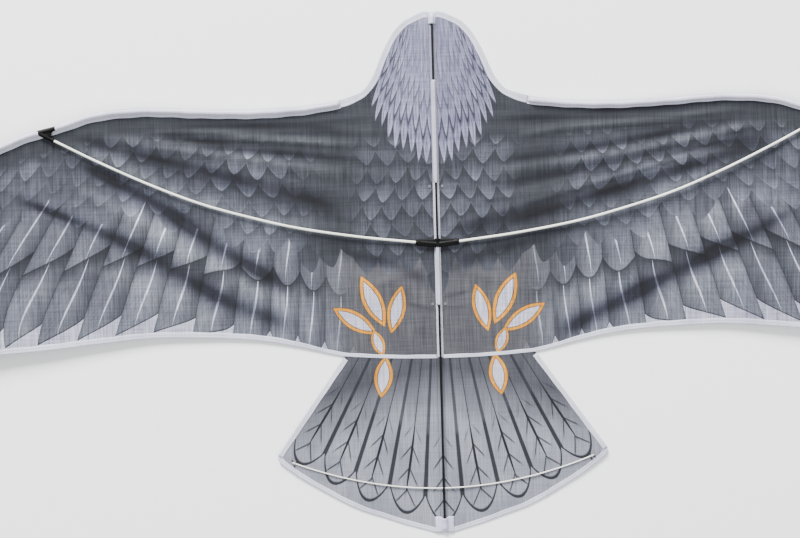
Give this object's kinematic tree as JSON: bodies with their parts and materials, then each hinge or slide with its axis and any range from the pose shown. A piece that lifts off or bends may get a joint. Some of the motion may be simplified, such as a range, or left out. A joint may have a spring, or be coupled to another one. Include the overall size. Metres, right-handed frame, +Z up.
{
  "type": "bird-shaped kite",
  "caption": "Bird-shaped single-line kite for scaring birds off crops: printed cloth wings that flap on a soft centre fitting, a fan tail and bowed spreader rods.",
  "frame": {"origin": "on the ground under the middle of the kite's length, on its line of symmetry", "axes": "+X across the wings, +Y from the tail to the head, +Z up, away from the printed belly and towards the rods"},
  "size_m": [1.35, 0.6, 0.03],
  "materials": {
    "printed_cloth": "matte",
    "tail_cloth": "matte",
    "hem_tape": "matte",
    "black_rod": "satin",
    "white_rod": "satin",
    "soft_moulding": "satin",
    "elastic": "matte",
    "eyelet": "satin"
  },
  "bodies": {
    "root": {"spine_rod": "black_rod", "spine_tape": "hem_tape", "spine_sleeve_upper": "hem_tape", "spine_sleeve_lower": "hem_tape", "nose_pocket": "hem_tape", "tail_pocket": "hem_tape", "centre_fitting": "soft_moulding", "tail_panel": "tail_cloth", "left_tail_hem": "hem_tape", "right_tail_hem": "hem_tape", "tail_spreader_rod": "white_rod", "left_tail_tie": "elastic", "right_tail_tie": "elastic"},
    "left_wing": {"left_wing_sail": "printed_cloth", "left_head_hem": "hem_tape", "left_trailing_hem": "hem_tape", "left_leading_sleeve_inner": "hem_tape", "left_leading_sleeve_outer": "hem_tape", "left_leading_edge_rod": "white_rod", "left_upper_bridle_eyelet": "eyelet", "left_lower_bridle_eyelet": "eyelet"},
    "right_wing": {"right_wing_sail": "printed_cloth", "right_head_hem": "hem_tape", "right_trailing_hem": "hem_tape", "right_leading_sleeve_inner": "hem_tape", "right_leading_sleeve_outer": "hem_tape", "right_leading_edge_rod": "white_rod", "right_upper_bridle_eyelet": "eyelet", "right_lower_bridle_eyelet": "eyelet"},
    "left_spreader": {"left_wing_fitting": "soft_moulding", "left_spreader_rod": "white_rod"},
    "right_spreader": {"right_wing_fitting": "soft_moulding", "right_spreader_rod": "white_rod"}
  },
  "joints": [
    {"name": "left_wing_flap", "type": "hinge", "parent": "root", "child": "left_wing", "pos_m": [-0.0039, 0, 0.00025], "axis": [0, 1, 0], "range_deg": [0, 25], "stiffness_Nm_per_rad": 2, "springref_deg": 2.86, "deforming": ["centre_fitting", "tail_panel", "left_tail_hem"]},
    {"name": "right_wing_flap", "type": "hinge", "parent": "root", "child": "right_wing", "pos_m": [0.0039, 0, 0.00025], "axis": [0, -1, 0], "range_deg": [0, 25], "stiffness_Nm_per_rad": 2, "springref_deg": 2.86, "deforming": ["centre_fitting", "tail_panel", "right_tail_hem"]},
    {"name": "left_spreader_swing", "type": "hinge", "parent": "left_wing", "child": "left_spreader", "pos_m": [-0.45349, 0.1716, 0.01474], "axis": [-0.9699, -0.2392, 0.0454], "range_deg": [0, 160]},
    {"name": "right_spreader_swing", "type": "hinge", "parent": "right_wing", "child": "right_spreader", "pos_m": [0.45349, 0.1716, 0.01474], "axis": [-0.9699, 0.2392, -0.0454], "range_deg": [0, 160]}
  ]
}
